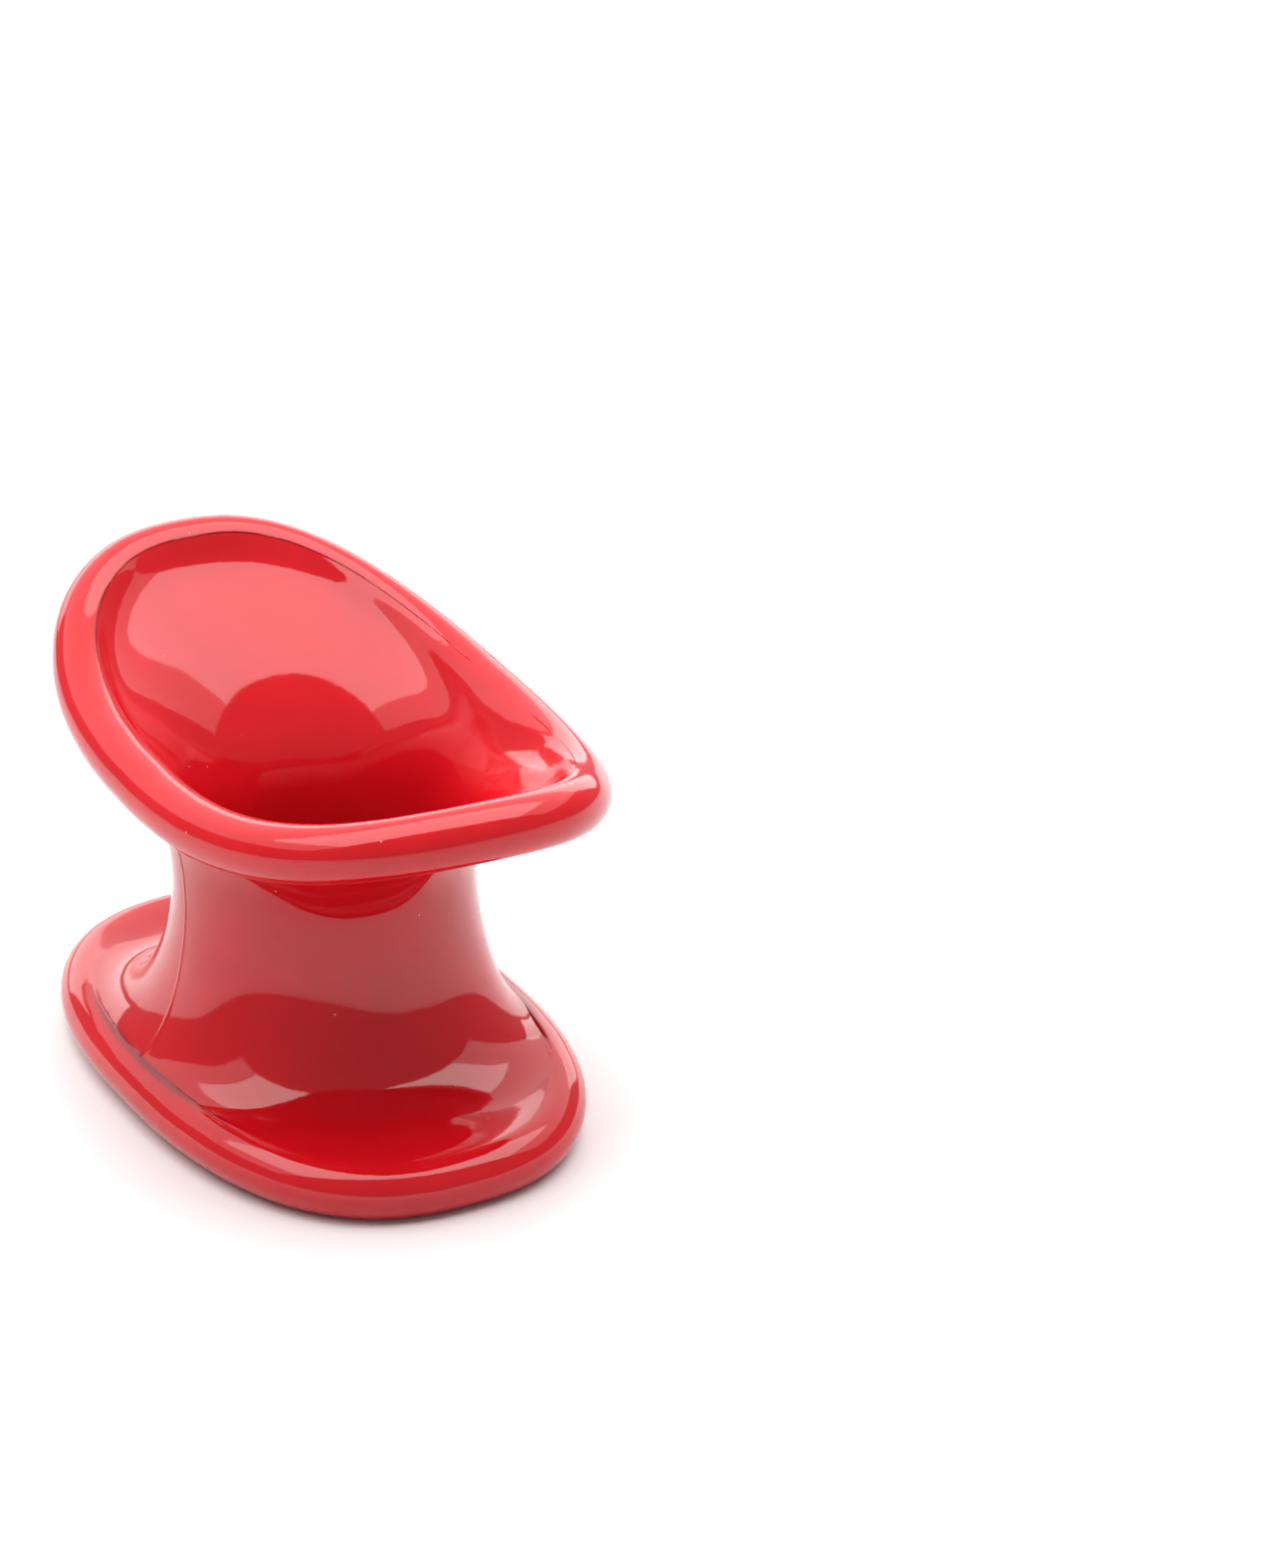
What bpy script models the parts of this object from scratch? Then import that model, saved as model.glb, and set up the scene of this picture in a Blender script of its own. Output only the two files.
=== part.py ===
"""Hollow spool sleeve: a round neck with a through bore, and a saddle-shaped lip with a beaded edge at each end.

The sleeve is one soft moulding. Metres, +Z up along the bore, +X along the lips' long axis, resting on z = 0.
"""

import math

import bpy
import numpy as np

# Neck, wall and bead
NECK_RADIUS = 0.0202  # bore axis to the middle of the wall, at the waist
WALL_HALF = 0.0021  # half of the wall's thickness
BEAD_RADIUS = 0.0042  # the solid bead round each lip's edge

# Each side of a lip gives the reach and rise of the bead's centre line from the waist's centre, the direction
# in which the wall meets the bead (degrees away from level), and for how long the wall keeps the neck's
# direction (root, a share of the rise) and the bead's direction (tip, a share of the span). The soft neck leans
# a little: shift is how far a bead is off the bore's axis, and tilt how steeply it climbs towards +X and +Y, in
# degrees. Bead spread is how far the bead's swelling runs into the wall, in bead radii.
UPPER_LIP = {
    "long": {"reach": 0.0490, "rise": 0.0303, "flare": 42.0, "root": 0.61, "tip": 0.06},
    "short": {"reach": 0.0296, "rise": 0.0207, "flare": 28.0, "root": 0.82, "tip": 0.05},
    "squareness": 2.4,
    "shift": (0.0013, 0.0004),
    "tilt": (-3.6, -1.6),
    "bead_spread": 0.95,
}
LOWER_LIP = {
    "long": {"reach": 0.0466, "rise": 0.0286, "flare": -3.0, "root": 0.76, "tip": 0.45},
    "short": {"reach": 0.0282, "rise": 0.0279, "flare": 0.0, "root": 0.34, "tip": 0.14},
    "squareness": 2.5,
    "shift": (-0.0007, -0.0014),
    "tilt": (0.0, 0.0),
    "bead_spread": 2.0,
}
LAND_DEPTH = 0.0003  # how far the soft bead is flattened where it stands

# Mesh density
AROUND = 36
WALL_STEPS = 5  # from the waist to the bead's centre line
CAP_STEPS = 3  # from the side of the bead to its crest
RING_RADIUS = 3.0  # the plain ring that the sleeve starts as

RED = (0.70, 0.012, 0.020, 1.0)
ROUGHNESS = 0.18


def clear_scene():
    for obj in list(bpy.data.objects):
        bpy.data.objects.remove(obj, do_unlink=True)


def new_collection(name):
    collection = bpy.data.collections.new(name)
    bpy.context.scene.collection.children.link(collection)
    return collection


def move_to(obj, collection):
    for owner in list(obj.users_collection):
        owner.objects.unlink(obj)
    collection.objects.link(obj)


def elastomer():
    material = bpy.data.materials.new("red_elastomer")
    material.use_nodes = True
    shader = material.node_tree.nodes["Principled BSDF"]
    shader.inputs["Base Color"].default_value = RED
    shader.inputs["Roughness"].default_value = ROUGHNESS
    shader.inputs["Metallic"].default_value = 0.0
    material.diffuse_color = RED
    return material


def wall_curve(side, s):
    """(radius, height) of the wall's middle on one side of a lip: a curve from the waist, s = 0, to the bead, s = 1."""
    span = math.hypot(side["reach"] - NECK_RADIUS, side["rise"])
    flare = math.radians(side["flare"])
    waist = (NECK_RADIUS, 0.0)
    root = (NECK_RADIUS, side["root"] * side["rise"])
    bead = (side["reach"], side["rise"])
    tip = (bead[0] - side["tip"] * span * math.cos(flare), bead[1] - side["tip"] * span * math.sin(flare))
    weights = ((1 - s) ** 3, 3 * (1 - s) ** 2 * s, 3 * (1 - s) * s**2, s**3)
    radius, height = np.dot(weights, (waist, root, tip, bead))
    return radius, height


def wall_middle(lip, phi, s):
    """A point in the middle of the wall, at angle phi round the bore. A lip is a saddle between its two sides."""
    long_radius, long_height = wall_curve(lip["long"], s)
    short_radius, short_height = wall_curve(lip["short"], s)
    along = math.cos(phi)
    across = math.sin(phi)
    z = long_height * along**2 + short_height * across**2
    climbed = z / (lip["long"]["rise"] * along**2 + lip["short"]["rise"] * across**2)
    lean = climbed**2
    power = 2 / (2 + (lip["squareness"] - 2) * lean)
    x = long_radius * math.copysign(abs(along) ** power, along) + lip["shift"][0] * lean
    y = short_radius * math.copysign(abs(across) ** power, across) + lip["shift"][1] * lean
    climb_x, climb_y = (math.tan(math.radians(angle)) for angle in lip["tilt"])
    return np.array((x, y, z + (climb_x * x + climb_y * y) * lean))


def wall_directions(lip, phi, s):
    """Unit vectors at a point of the wall: across it towards the bead, and away from the bore."""
    step = 1e-3
    around = wall_middle(lip, phi + step, s) - wall_middle(lip, phi - step, s)
    up_wall = wall_middle(lip, phi, s + step) - wall_middle(lip, phi, s - step)
    outward = np.cross(around, up_wall)
    ahead = np.cross(outward, around)
    return ahead / np.linalg.norm(ahead), outward / np.linalg.norm(outward)


def skin_point(lip, phi, station):
    """A point on the surface. Station is -1 at the waist in the bore, 0 on the bead's crest, 1 at the outer waist."""
    steps = (1 - abs(station)) * (WALL_STEPS + CAP_STEPS)
    s = min(steps / WALL_STEPS, 1.0)
    turn = math.radians(90) * max(steps - WALL_STEPS, 0) / CAP_STEPS
    middle = wall_middle(lip, phi, s)
    ahead, outward = wall_directions(lip, phi, s)
    gap = np.linalg.norm(wall_middle(lip, phi, 1.0) - middle)
    swelling = math.exp(-((gap / (lip["bead_spread"] * BEAD_RADIUS)) ** 2))
    half = WALL_HALF + (BEAD_RADIUS - WALL_HALF) * swelling
    side = math.copysign(half * math.cos(turn), station)
    return middle + side * outward + BEAD_RADIUS * math.sin(turn) * ahead


def make_sleeve(collection, material):
    """A plain ring whose every point is moved to its place on the sleeve's skin."""
    bpy.ops.mesh.primitive_torus_add(
        major_segments=AROUND,
        minor_segments=4 * (WALL_STEPS + CAP_STEPS),
        major_radius=RING_RADIUS,
        minor_radius=1.0,
    )
    sleeve = bpy.context.object
    sleeve.name = "sleeve"
    sleeve.data.name = "sleeve"
    for vertex in sleeve.data.vertices:
        x, y, z = vertex.co
        phi = math.atan2(y, x)
        turn = math.atan2(z, math.hypot(x, y) - RING_RADIUS)
        lip, up = (UPPER_LIP, 1) if turn >= 0 else (LOWER_LIP, -1)
        point = skin_point(lip, phi, 1 - abs(turn) / math.radians(90))
        vertex.co = point * (1, 1, up)
    smooth = sleeve.modifiers.new("smooth", "SUBSURF")
    smooth.levels = 1
    smooth.render_levels = smooth.levels
    sleeve.data.materials.append(material)
    sleeve.data.shade_smooth()
    move_to(sleeve, collection)
    return sleeve


def evaluated_points(obj):
    """The object's points with its modifiers on, one row each."""
    bpy.context.view_layer.update()
    shown = obj.evaluated_get(bpy.context.evaluated_depsgraph_get())
    return np.array([vertex.co[:] for vertex in shown.data.vertices])


def stand_on_floor(sleeve):
    """Moves the mesh so that its box is centred over the origin and its lowest points are just under z = 0."""
    points = evaluated_points(sleeve)
    low, high = points.min(axis=0), points.max(axis=0)
    offset = (-(low + high) / 2 * (1, 1, 0)) - (0, 0, low[2] + LAND_DEPTH)
    for vertex in sleeve.data.vertices:
        vertex.co = np.array(vertex.co) + offset


def cut_lands(sleeve, collection):
    """Flat lands where the soft bead stands: all below z = 0 is cut off."""
    depth = 0.02
    width = 0.3
    bpy.ops.mesh.primitive_cube_add(size=1.0, location=(0, 0, -depth / 2))
    floor = bpy.context.object
    floor.name = "floor_cutter"
    floor.scale = (width, width, depth)
    bpy.context.view_layer.update()
    floor.data.transform(floor.matrix_world)
    floor.matrix_world.identity()
    floor.display_type = "WIRE"
    floor.hide_render = True
    move_to(floor, collection)
    cut = sleeve.modifiers.new("lands", "BOOLEAN")
    cut.operation = "DIFFERENCE"
    cut.solver = "EXACT"
    cut.object = floor


def main():
    clear_scene()
    parts = new_collection("spool_sleeve")
    cutters = new_collection("cutters")
    sleeve = make_sleeve(parts, elastomer())
    stand_on_floor(sleeve)
    cut_lands(sleeve, cutters)


main()
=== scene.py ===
import math

import bpy
from mathutils import Matrix, Vector


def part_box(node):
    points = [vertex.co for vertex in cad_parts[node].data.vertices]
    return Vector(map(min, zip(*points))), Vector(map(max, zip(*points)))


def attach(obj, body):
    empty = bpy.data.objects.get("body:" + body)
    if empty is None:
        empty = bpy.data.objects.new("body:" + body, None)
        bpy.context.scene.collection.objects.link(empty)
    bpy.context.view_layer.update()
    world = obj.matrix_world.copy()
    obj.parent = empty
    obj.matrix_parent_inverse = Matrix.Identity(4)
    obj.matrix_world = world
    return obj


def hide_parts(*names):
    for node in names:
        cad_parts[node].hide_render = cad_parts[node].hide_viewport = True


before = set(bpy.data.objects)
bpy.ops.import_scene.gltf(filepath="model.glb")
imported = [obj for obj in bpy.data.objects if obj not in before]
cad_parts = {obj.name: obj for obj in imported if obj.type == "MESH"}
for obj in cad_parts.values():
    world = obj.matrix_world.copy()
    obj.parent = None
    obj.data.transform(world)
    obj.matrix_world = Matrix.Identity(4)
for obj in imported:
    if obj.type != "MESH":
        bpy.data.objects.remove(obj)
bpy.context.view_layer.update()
print("frame loaded:", sorted(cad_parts))


class Wire:
    # holds one socket of a node tree: sums and products on it add Math nodes, and node() adds any other
    def __init__(self, tree, socket=None):
        self.tree = tree
        self.socket = socket

    def node(self, kind, settings=None, sockets=None, out=0):
        made = self.tree.nodes.new(kind)
        for name, value in (settings or {}).items():
            setattr(made, name, value)
        for name, value in (sockets or {}).items():
            if isinstance(value, Wire):
                self.tree.links.new(value.socket, made.inputs[name])
            else:
                made.inputs[name].default_value = value
        return Wire(self.tree, made.outputs[out] if len(made.outputs) else None)

    def maths(self, operation, *values):
        return self.node("ShaderNodeMath", {"operation": operation}, dict(enumerate(values)))

    def vector(self, operation, *values, out=0):
        return self.node("ShaderNodeVectorMath", {"operation": operation}, dict(enumerate(values)), out)

    def stretched(self, amount):
        # a vector times a number
        return self.node("ShaderNodeVectorMath", {"operation": "SCALE"}, {0: self, "Scale": amount})

    def part(self, axis):
        return self.node("ShaderNodeSeparateXYZ", None, {0: self}, axis)

    def __add__(self, other):
        return self.maths("ADD", self, other)

    def __radd__(self, other):
        return self.maths("ADD", other, self)

    def __sub__(self, other):
        return self.maths("SUBTRACT", self, other)

    def __rsub__(self, other):
        return self.maths("SUBTRACT", other, self)

    def __mul__(self, other):
        return self.maths("MULTIPLY", self, other)

    def __rmul__(self, other):
        return self.maths("MULTIPLY", other, self)

    def __truediv__(self, other):
        return self.maths("DIVIDE", self, other)

    def __rtruediv__(self, other):
        return self.maths("DIVIDE", other, self)

    def __pow__(self, other):
        return self.maths("POWER", self, other)

    def __neg__(self):
        return self.maths("MULTIPLY", self, -1.0)


def newGroup(name, inputs, outputs):
    # an empty Geometry Nodes tree, a wire for each named input, and the node that its results go to
    tree = bpy.data.node_groups.new(name, "GeometryNodeTree")
    for label, kind in inputs:
        tree.interface.new_socket(name=label, in_out="INPUT", socket_type=kind)
    for label, kind in outputs:
        tree.interface.new_socket(name=label, in_out="OUTPUT", socket_type=kind)
    start = tree.nodes.new("NodeGroupInput")
    end = tree.nodes.new("NodeGroupOutput")
    return tree, {label: Wire(tree, start.outputs[label]) for label, kind in inputs}, end


# The sleeve: sizes in metres, angles in degrees.
# Each side of a lip gives the reach and rise of its bead from the middle of the waist, the way the wall runs
# into the bead (flare), and how long the wall keeps the neck's way (root) and the bead's way (tip).
sleeve = {
    "neckRadius": 0.0202,
    "wallHalf": 0.0021,
    "beadRadius": 0.0042,
    "landDepth": 0.0003,
    "landRounding": 0.00006,
    "upper": {
        "longReach": 0.0490, "longRise": 0.0303, "longFlare": 42.0, "longRoot": 0.61, "longTip": 0.06,
        "shortReach": 0.0296, "shortRise": 0.0207, "shortFlare": 28.0, "shortRoot": 0.82, "shortTip": 0.05,
        "squareness": 2.4, "beadSpread": 0.95,
        "shiftX": 0.0013, "shiftY": 0.0004, "tiltX": -3.6, "tiltY": -1.6,
    },
    "lower": {
        "longReach": 0.0466, "longRise": 0.0286, "longFlare": -3.0, "longRoot": 0.76, "longTip": 0.45,
        "shortReach": 0.0282, "shortRise": 0.0279, "shortFlare": 0.0, "shortRoot": 0.34, "shortTip": 0.14,
        "squareness": 2.5, "beadSpread": 2.0,
        "shiftX": -0.0007, "shiftY": -0.0014, "tiltX": 0.0, "tiltY": 0.0,
    },
    "wallShare": 0.625,  # of the section's length from waist to crest, the share before the bead's cap
    "columns": 400,
    "rows": 244,
    "crowdColumns": 0.40,  # columns stand closer at the two mould seams
    "crowdRows": 0.30,  # rows stand closer on the two beads
    "swellHeight": 0.00010,  # the soft skin's slight unevenness
    "swellSize": 0.014,
    "rippleHeight": 0.000012,
    "rippleSize": 0.0032,
    "seamHeight": 0.00016,  # the parting seam on the outside
    "seamWidth": 0.00022,
    "seamWander": 0.0006,
    "seamWanderSize": 0.012,
    "flashHeight": 0.00003,  # the broken flash line on the beads
    "flashWidth": 0.00022,
    "flashStation": -0.13,
    "flashWander": 0.0016,
    "flashWanderSize": 0.010,
    "flashBreaks": 0.006,
    "mergeWithin": 0.00001,  # closes the sheet where its edges meet
    "seed": 4.0,
}
lipInputs = [name for name in sleeve["upper"]]


def sideCurve(g, side, s):
    # radius and height of the middle of the wall on one side of a lip, from the waist to the bead
    neck, reach, rise = g["neckRadius"], g[side + "Reach"], g[side + "Rise"]
    flare = g[side + "Flare"] * math.radians(1)
    span = ((reach - neck) ** 2.0 + rise * rise) ** 0.5
    tipRadius = reach - g[side + "Tip"] * span * s.maths("COSINE", flare)
    tipHeight = rise - g[side + "Tip"] * span * s.maths("SINE", flare)
    rest = 1 - s
    first, second, third, fourth = rest**3.0, 3 * rest * rest * s, 3 * rest * s * s, s**3.0
    radius = (first + second) * neck + third * tipRadius + fourth * reach
    height = second * g[side + "Root"] * rise + third * tipHeight + fourth * rise
    return radius, height


def wallGroup():
    # a point in the middle of the wall: a lip is a saddle between its long and short sides
    names = ["round", "along", "neckRadius"] + lipInputs
    inputs = [(name, "NodeSocketFloat") for name in names]
    tree, g, end = newGroup("wall_middle", inputs, [("point", "NodeSocketVector")])
    phi, s = g["round"], g["along"]
    longRadius, longHeight = sideCurve(g, "long", s)
    shortRadius, shortHeight = sideCurve(g, "short", s)
    cosine, sine = s.maths("COSINE", phi), s.maths("SINE", phi)
    z = longHeight * cosine * cosine + shortHeight * sine * sine
    climbed = z / (g["longRise"] * cosine * cosine + g["shortRise"] * sine * sine)
    lean = climbed * climbed
    power = 2 / (2 + (g["squareness"] - 2) * lean)
    x = longRadius * s.maths("SIGN", cosine) * s.maths("ABSOLUTE", cosine) ** power + g["shiftX"] * lean
    y = shortRadius * s.maths("SIGN", sine) * s.maths("ABSOLUTE", sine) ** power + g["shiftY"] * lean
    climbX = s.maths("TANGENT", g["tiltX"] * math.radians(1))
    climbY = s.maths("TANGENT", g["tiltY"] * math.radians(1))
    z = z + (climbX * x + climbY * y) * lean
    point = s.node("ShaderNodeCombineXYZ", None, {0: x, 1: y, 2: z})
    tree.links.new(point.socket, end.inputs["point"])
    return tree


def crowd(angle, amount):
    # turns even steps round a circle into steps that stand closer at the quarter and three-quarter turns
    return angle + angle.maths(
        "ARCTAN2", amount * angle.maths("SINE", 2 * angle), 1 - amount * angle.maths("COSINE", 2 * angle)
    )


def ridge(distance, width):
    # a soft-edged ridge: 1 on its line, 0 a little beyond its width
    share = distance / width
    return share.maths("EXPONENT", -(share * share))


def sleeveGroup(finish):
    numbers = [name for name, value in sleeve.items() if isinstance(value, (float, int))]
    numbers = [name for name in numbers if name not in ("columns", "rows")]
    inputs = [("Geometry", "NodeSocketGeometry"), ("columns", "NodeSocketInt"), ("rows", "NodeSocketInt")]
    inputs += [(name, "NodeSocketFloat") for name in numbers]
    inputs += [(lip + "_" + name, "NodeSocketFloat") for lip in ("upper", "lower") for name in lipInputs]
    inputs += [("standAt", "NodeSocketVector")]
    tree, g, end = newGroup("spool_sleeve", inputs, [("Geometry", "NodeSocketGeometry")])
    w = Wire(tree)

    sheet = w.node(
        "GeometryNodeMeshGrid", None,
        {"Size X": 1.0, "Size Y": 1.0, "Vertices X": g["columns"], "Vertices Y": g["rows"]},
    )
    at = w.node("GeometryNodeInputPosition")
    phi = crowd(at.part(0) * math.tau, g["crowdColumns"])
    turn = crowd(at.part(1) * math.tau, g["crowdRows"])
    compare = {"data_type": "FLOAT", "operation": "GREATER_EQUAL"}
    upper = w.node("FunctionNodeCompare", compare, {0: turn, 1: 0.0})
    station = 1 - w.maths("ABSOLUTE", turn) / math.radians(90)
    travel = 1 - w.maths("ABSOLUTE", station)
    s = w.maths("MINIMUM", travel / g["wallShare"], 1.0)
    cap = math.radians(90) * w.maths("MAXIMUM", travel - g["wallShare"], 0.0) / (1 - g["wallShare"])

    lip = {
        name: w.node(
            "GeometryNodeSwitch", {"input_type": "FLOAT"},
            {"Switch": upper, "False": g["lower_" + name], "True": g["upper_" + name]},
        )
        for name in lipInputs
    }
    wall = wallGroup()

    def middle(angle, along):
        sockets = {"round": angle, "along": along, "neckRadius": g["neckRadius"], **lip}
        return w.node("GeometryNodeGroup", {"node_tree": wall}, sockets)

    step = 0.001
    centre = middle(phi, s)
    upWall = w.vector("SUBTRACT", middle(phi, s + step), middle(phi, s - step))
    around = w.vector("NORMALIZE", w.vector("SUBTRACT", middle(phi + step, s), middle(phi - step, s)))
    outward = w.vector("NORMALIZE", w.vector("CROSS_PRODUCT", around, w.vector("NORMALIZE", upWall)))
    ahead = w.vector("CROSS_PRODUCT", outward, around)
    gap = w.vector("LENGTH", w.vector("SUBTRACT", middle(phi, 1.0), centre), out="Value")
    swelling = ridge(gap, lip["beadSpread"] * g["beadRadius"])
    half = g["wallHalf"] + (g["beadRadius"] - g["wallHalf"]) * swelling
    toSide = w.maths("SIGN", station) * half * w.maths("COSINE", cap)
    toCrest = g["beadRadius"] * w.maths("SINE", cap)
    skin = w.vector("ADD", w.vector("ADD", centre, outward.stretched(toSide)), ahead.stretched(toCrest))
    upDown = w.node(
        "GeometryNodeSwitch", {"input_type": "FLOAT"}, {"Switch": upper, "False": -1.0, "True": 1.0}
    )
    skin = w.vector("MULTIPLY", skin, w.node("ShaderNodeCombineXYZ", None, {0: 1.0, 1: 1.0, 2: upDown}))

    def noise(size, detail, shift):
        away = w.node("ShaderNodeCombineXYZ", None, {0: g["seed"] + shift, 1: 0.0, 2: shift})
        moved = w.vector("ADD", skin, away)
        made = w.node(
            "ShaderNodeTexNoise", {"noise_dimensions": "3D"},
            {"Vector": moved, "Scale": 1 / size, "Detail": detail, "Roughness": 0.5},
        )
        return made - 0.5

    # the mould's two halves meet along the short sides; its core meets them along the beads
    outer = w.node("ShaderNodeMapRange", None, {"Value": station, "From Min": 0.2, "From Max": 0.55})
    seamWander = noise(g["seamWanderSize"], 2.0, 3.0) * g["seamWander"]
    seam = ridge(skin.part(0) - seamWander, g["seamWidth"]) * outer
    breaks = noise(g["flashBreaks"], 3.0, 7.0)
    ragged = w.node("ShaderNodeMapRange", None, {"Value": breaks, "From Min": 0.0, "From Max": 0.22})
    flashWander = noise(g["flashWanderSize"], 2.0, 11.0) * g["flashWander"]
    capLength = math.radians(90) * g["beadRadius"] / (1 - g["wallShare"])
    flash = ridge((station - g["flashStation"]) * capLength - flashWander, g["flashWidth"]) * ragged
    relief = seam * g["seamHeight"] + flash * g["flashHeight"]
    relief = relief + noise(g["swellSize"], 1.0, 17.0) * 2 * g["swellHeight"]
    relief = relief + noise(g["rippleSize"], 1.0, 23.0) * 2 * g["rippleHeight"]

    def store(mesh, name, value):
        return w.node(
            "GeometryNodeStoreNamedAttribute", {"data_type": "FLOAT", "domain": "POINT"},
            {"Geometry": mesh, "Name": name, "Value": value},
        )

    body = store(sheet, "relief", relief)
    body = store(body, "mouldLine", w.maths("MAXIMUM", seam, flash))
    body = w.node("GeometryNodeSetPosition", None, {"Geometry": body, "Position": skin})
    body = w.node("GeometryNodeMergeByDistance", None, {"Geometry": body, "Distance": g["mergeWithin"]})
    height = w.node("GeometryNodeInputNamedAttribute", {"data_type": "FLOAT"}, {"Name": "relief"})
    lift = w.node("GeometryNodeInputNormal").stretched(height)
    body = w.node("GeometryNodeSetPosition", None, {"Geometry": body, "Offset": lift})

    # stand it where the frame's sleeve stands, with its lowest points flattened on the floor
    low = w.node("GeometryNodeBoundBox", None, {"Geometry": body}, "Min")
    high = w.node("GeometryNodeBoundBox", None, {"Geometry": body}, "Max")
    half = w.vector("ADD", low, high).stretched(0.5)
    toPlace = w.vector("SUBTRACT", g["standAt"], half)
    drop = -low.part(2) - g["landDepth"]
    offset = w.node("ShaderNodeCombineXYZ", None, {0: toPlace.part(0), 1: toPlace.part(1), 2: drop})
    body = w.node("GeometryNodeSetPosition", None, {"Geometry": body, "Offset": offset})
    now = w.node("GeometryNodeInputPosition")
    flat = w.maths("SMOOTH_MAX", now.part(2), 0.0, g["landRounding"])
    rested = w.node("ShaderNodeCombineXYZ", None, {0: now.part(0), 1: now.part(1), 2: flat})
    body = w.node("GeometryNodeSetPosition", None, {"Geometry": body, "Position": rested})
    body = w.node("GeometryNodeSetShadeSmooth", None, {"Geometry": body})
    body = w.node("GeometryNodeRealizeInstances", None, {"Geometry": body})
    body = w.node("GeometryNodeSetMaterial", None, {"Geometry": body, "Material": finish})
    tree.links.new(body.socket, end.inputs["Geometry"])
    return tree


def makeSleeve(finish):
    holder = bpy.data.objects.new("sleeve_maker", bpy.data.meshes.new("sleeve_maker"))
    bpy.context.scene.collection.objects.link(holder)
    maker = holder.modifiers.new("maker", "NODES")
    maker.node_group = sleeveGroup(finish)
    values = {name: value for name, value in sleeve.items() if not isinstance(value, dict)}
    for side in ("upper", "lower"):
        values.update({side + "_" + name: value for name, value in sleeve[side].items()})
    low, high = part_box("sleeve")
    values["standAt"] = tuple((low + high) / 2)
    for item in maker.node_group.interface.items_tree:
        if item.in_out == "INPUT" and item.name in values:
            maker[item.identifier] = values[item.name]
    bpy.context.view_layer.update()
    shown = holder.evaluated_get(bpy.context.evaluated_depsgraph_get())
    mesh = bpy.data.meshes.new_from_object(shown)
    mesh.name = "sleeve_skin"
    bpy.data.objects.remove(holder)
    piece = bpy.data.objects.new("sleeve_skin", mesh)
    bpy.context.scene.collection.objects.link(piece)
    print("sleeve made:", len(mesh.polygons), "faces")
    return piece


# A glossy red elastomer, slightly see-through, with small moulding marks: sizes in metres.
elastomer = {
    "body": (0.55, 0.006, 0.012, 1.0),
    "deep": (0.49, 0.004, 0.009, 1.0),
    "line": (0.45, 0.005, 0.009, 1.0),
    "speck": (0.90, 0.35, 0.33, 1.0),
    "roughness": 0.055,
    "roughnessVaries": 0.035,
    "ior": 1.52,
    "scatter": 0.6,
    "scatterRadius": (1.0, 0.12, 0.08),
    "scatterScale": 0.006,
    "cloudSize": 0.018,
    "patchSize": 0.007,  # patches that are a little duller
    "speckSpacing": 0.0055,
    "speckEdge": (0.018, 0.030),  # a speck's edge, as shares of the spacing
    "lineTint": 0.35,
    "speckTint": 0.7,
    "lineDulls": 0.10,
    "speckDulls": 0.3,
    "grainSize": 0.0016,
    "streakSize": 0.0022,
    "streakStretch": (1.0, 1.0, 0.18),
    "streakPatch": 0.020,
    "bumpStrength": 0.35,
    "bumpDepth": 0.00006,
}


def mixColours(w, factor, first, second):
    made = w.node("ShaderNodeMix", {"data_type": "RGBA"}, {"Factor": factor}, 2)
    node = made.socket.node
    for index, value in ((6, first), (7, second)):
        if isinstance(value, Wire):
            w.tree.links.new(value.socket, node.inputs[index])
        else:
            node.inputs[index].default_value = value
    return made


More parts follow.
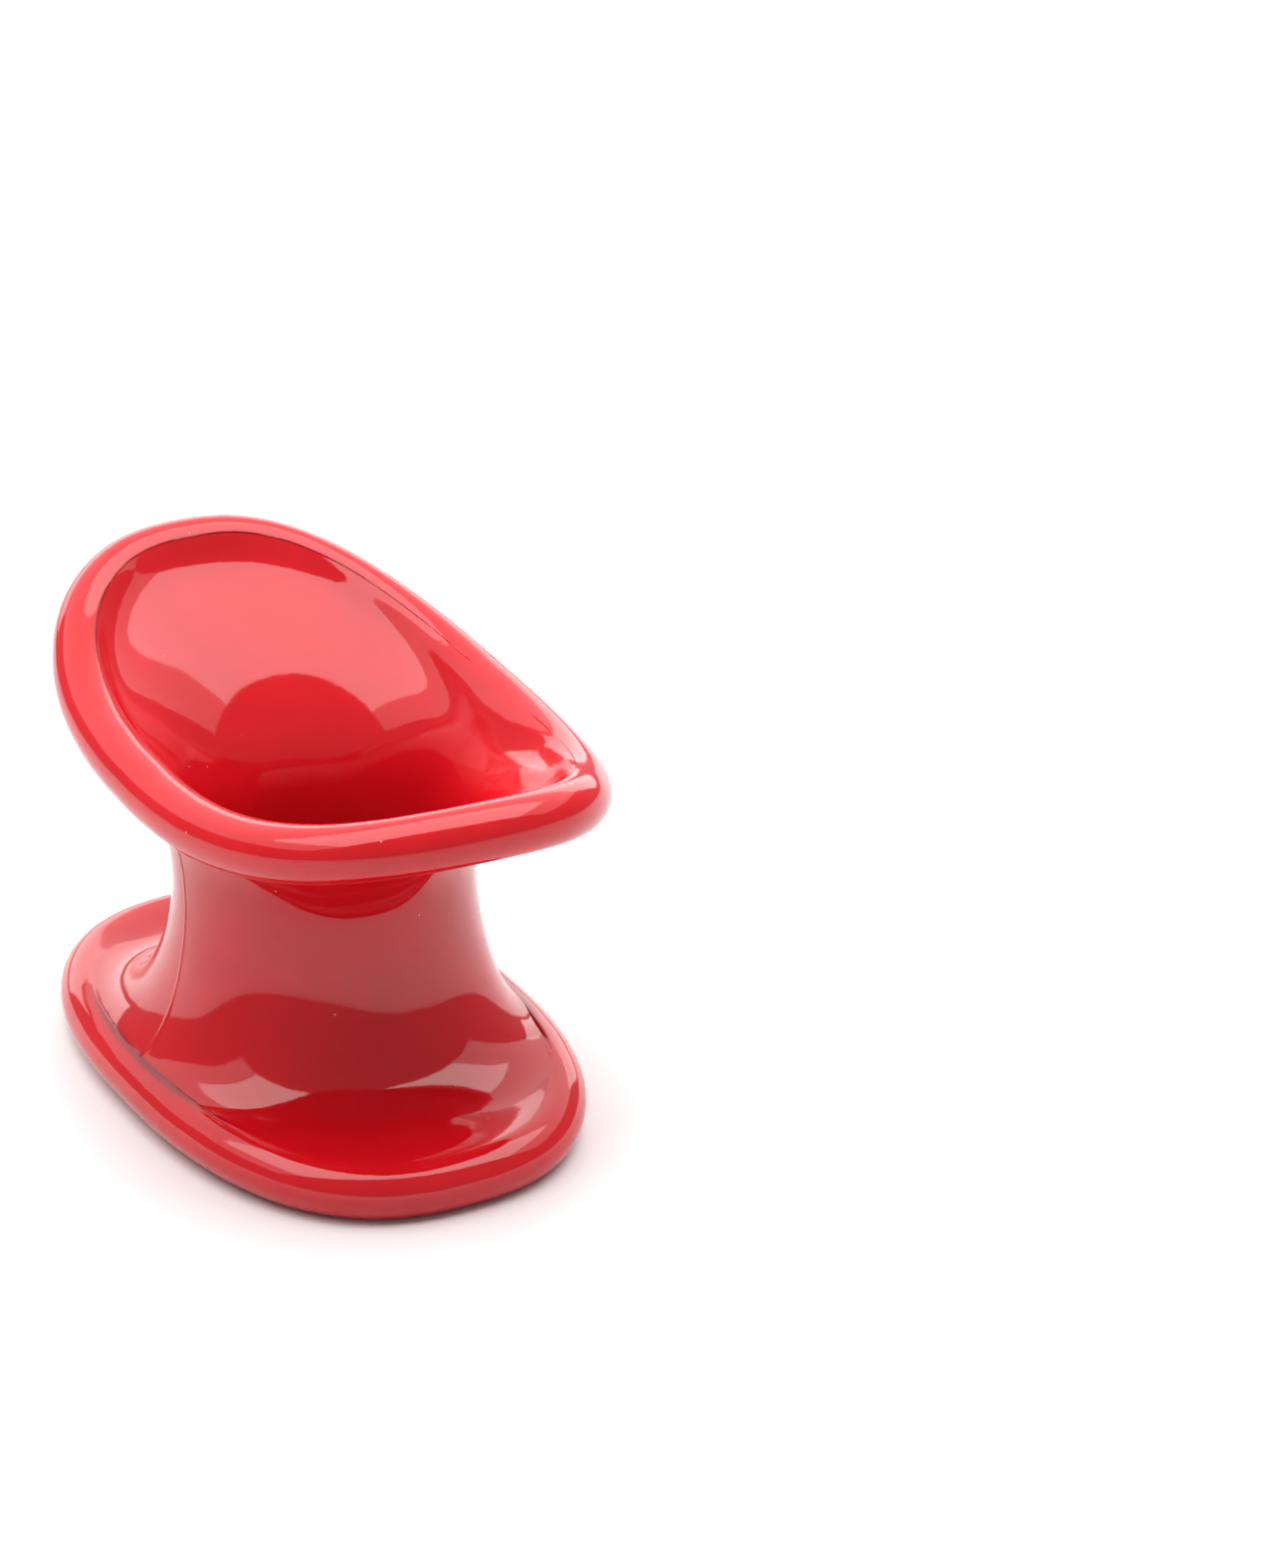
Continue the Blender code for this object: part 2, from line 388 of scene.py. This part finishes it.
def elastomerFinish():
    material = bpy.data.materials.new("glossy_red_elastomer")
    material.use_nodes = True
    tree = material.node_tree
    shader = tree.nodes["Principled BSDF"]
    w = Wire(tree)
    place = w.node("ShaderNodeTexCoord", out="Object")

    def noise(size, detail=2.0, roughness=0.5, at=place):
        return w.node(
            "ShaderNodeTexNoise", None,
            {"Vector": at, "Scale": 1 / size, "Detail": detail, "Roughness": roughness},
        )

    def between(value, low, high):
        return w.node("ShaderNodeMapRange", None, {"Value": value, "From Min": low, "From Max": high})

    clouds = between(noise(elastomer["cloudSize"], 3.0), 0.35, 0.68)
    mouldLine = w.node("ShaderNodeAttribute", {"attribute_name": "mouldLine"}, out="Fac")
    spacing = 1 / elastomer["speckSpacing"]
    cells = w.node("ShaderNodeTexVoronoi", None, {"Vector": place, "Scale": spacing, "Randomness": 1.0})
    specks = 1 - between(cells, *elastomer["speckEdge"])
    colour = mixColours(w, clouds, elastomer["body"], elastomer["deep"])
    colour = mixColours(w, mouldLine * elastomer["lineTint"], colour, elastomer["line"])
    colour = mixColours(w, specks * elastomer["speckTint"], colour, elastomer["speck"])
    tree.links.new(colour.socket, shader.inputs["Base Color"])

    patches = between(noise(elastomer["patchSize"], 4.0, 0.6), 0.4, 0.7)
    rough = elastomer["roughness"] + elastomer["roughnessVaries"] * patches
    rough = rough + mouldLine * elastomer["lineDulls"] + specks * elastomer["speckDulls"]
    tree.links.new(rough.socket, shader.inputs["Roughness"])

    # flow marks: long shallow streaks, only in places
    squeezed = w.node("ShaderNodeMapping", None, {"Vector": place, "Scale": elastomer["streakStretch"]})
    streaks = noise(elastomer["streakSize"], 2.0, 0.5, squeezed)
    where = between(noise(elastomer["streakPatch"], 1.0), 0.52, 0.66)
    height = noise(elastomer["grainSize"], 2.0) * 0.35 + streaks * where * 0.8 + specks * 0.5
    relief = {"Strength": elastomer["bumpStrength"], "Distance": elastomer["bumpDepth"], "Height": height}
    bump = w.node("ShaderNodeBump", None, relief)
    tree.links.new(bump.socket, shader.inputs["Normal"])

    shader.inputs["IOR"].default_value = elastomer["ior"]
    shader.inputs["Subsurface Weight"].default_value = elastomer["scatter"]
    shader.inputs["Subsurface Radius"].default_value = elastomer["scatterRadius"]
    shader.inputs["Subsurface Scale"].default_value = elastomer["scatterScale"]
    return material


# A pale table under two soft boxes, with a lit panel behind it.
studio = {
    "floorColour": (0.80, 0.79, 0.79, 1.0),
    "floorSize": 1.9,
    "floorRoughness": 0.6,
    "cloudScale": 9.0,  # the table's slight clouding
    "cloudTone": 0.985,
    "surround": 0.32,  # the dim room round the table
    "backdrop": 1.2,  # what stands behind the table
    "turned": -12.0,  # the overhead diffuser's front edge against the Y axis
    "panel": {
        "direction": 157.0, "distance": 1.4, "middle": 0.40, "width": 2.0, "height": 0.60, "radiance": 2.2,
    },
    "boxes": [
        # name, middle, width along X, depth along Y, radiance
        ("diffuser_core", (-0.05, -0.05, 1.0), 1.00, 2.00, 3.5),
        ("diffuser_wide", (-0.75, -0.05, 1.0), 2.40, 3.80, 1.1),
    ],
}


def makeFloor():
    size = studio["floorSize"] / 2
    mesh = bpy.data.meshes.new("studio_floor")
    corners = [(-size, -size, 0), (size, -size, 0), (size, size, 0), (-size, size, 0)]
    mesh.from_pydata(corners, [], [(0, 1, 2, 3)])
    floor = bpy.data.objects.new("studio_floor", mesh)
    bpy.context.scene.collection.objects.link(floor)
    material = bpy.data.materials.new("pale_table")
    material.use_nodes = True
    w = Wire(material.node_tree)
    place = w.node("ShaderNodeTexCoord", out="Object")
    tone = w.node(
        "ShaderNodeTexNoise", None, {"Vector": place, "Scale": studio["cloudScale"], "Detail": 2.0}
    )
    pale = studio["floorColour"]
    colour = mixColours(w, tone, pale, tuple(studio["cloudTone"] * value for value in pale[:3]) + (1.0,))
    shader = material.node_tree.nodes["Principled BSDF"]
    material.node_tree.links.new(colour.socket, shader.inputs["Base Color"])
    shader.inputs["Roughness"].default_value = studio["floorRoughness"]
    mesh.materials.append(material)
    return floor


def addBox(name, matrix, width, depth, radiance):
    # a soft box that lights and reflects but isn't seen itself
    light = bpy.data.lights.new(name, "AREA")
    light.shape = "RECTANGLE"
    light.size, light.size_y = width, depth
    light.energy = radiance * math.pi * width * depth
    lamp = bpy.data.objects.new(name, light)
    lamp.matrix_world = matrix
    lamp.visible_camera = False
    bpy.context.scene.collection.objects.link(lamp)


def makeLights():
    world = bpy.data.worlds.new("studio_surround")
    bpy.context.scene.world = world
    world.use_nodes = True
    w = Wire(world.node_tree)
    seen = w.node("ShaderNodeLightPath", out="Is Camera Ray")
    strength = studio["surround"] + seen * (studio["backdrop"] - studio["surround"])
    background = world.node_tree.nodes["Background"]
    background.inputs["Color"].default_value = (1.0, 1.0, 1.0, 1.0)
    world.node_tree.links.new(strength.socket, background.inputs["Strength"])
    turned = Matrix.Rotation(math.radians(studio["turned"]), 4, "Z")
    for name, middle, width, depth, radiance in studio["boxes"]:
        addBox(name, turned @ Matrix.Translation(middle), width, depth, radiance)
    # a lit panel stands behind the table, facing the sleeve
    panel = studio["panel"]
    away = Matrix.Rotation(math.radians(panel["direction"]), 4, "Z")
    away = away @ Matrix.Translation((panel["distance"], 0, panel["middle"]))
    upright = Matrix.Rotation(math.radians(90), 4, "Y") @ Matrix.Rotation(math.radians(90), 4, "Z")
    addBox("back_panel", away @ upright, panel["width"], panel["height"], panel["radiance"])


shot = {
    "place": (0.6621, -0.3113, 0.3929),
    "looks": (-0.7928, 0.4335, -0.4284),
    "lens": 128.0,
    "nearest": 0.01,
    "farthest": 20.0,
}


def makeCamera():
    data = bpy.data.cameras.new("product_camera")
    data.lens = shot["lens"]
    data.clip_start, data.clip_end = shot["nearest"], shot["farthest"]
    camera = bpy.data.objects.new("product_camera", data)
    camera.location = shot["place"]
    camera.rotation_euler = Vector(shot["looks"]).to_track_quat("-Z", "Y").to_euler()
    bpy.context.scene.collection.objects.link(camera)
    bpy.context.scene.camera = camera
    bpy.context.scene.view_settings.view_transform = "Standard"


piece = makeSleeve(elastomerFinish())
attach(piece, "root")
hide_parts("sleeve")
makeFloor()
makeLights()
makeCamera()
print("studio made")
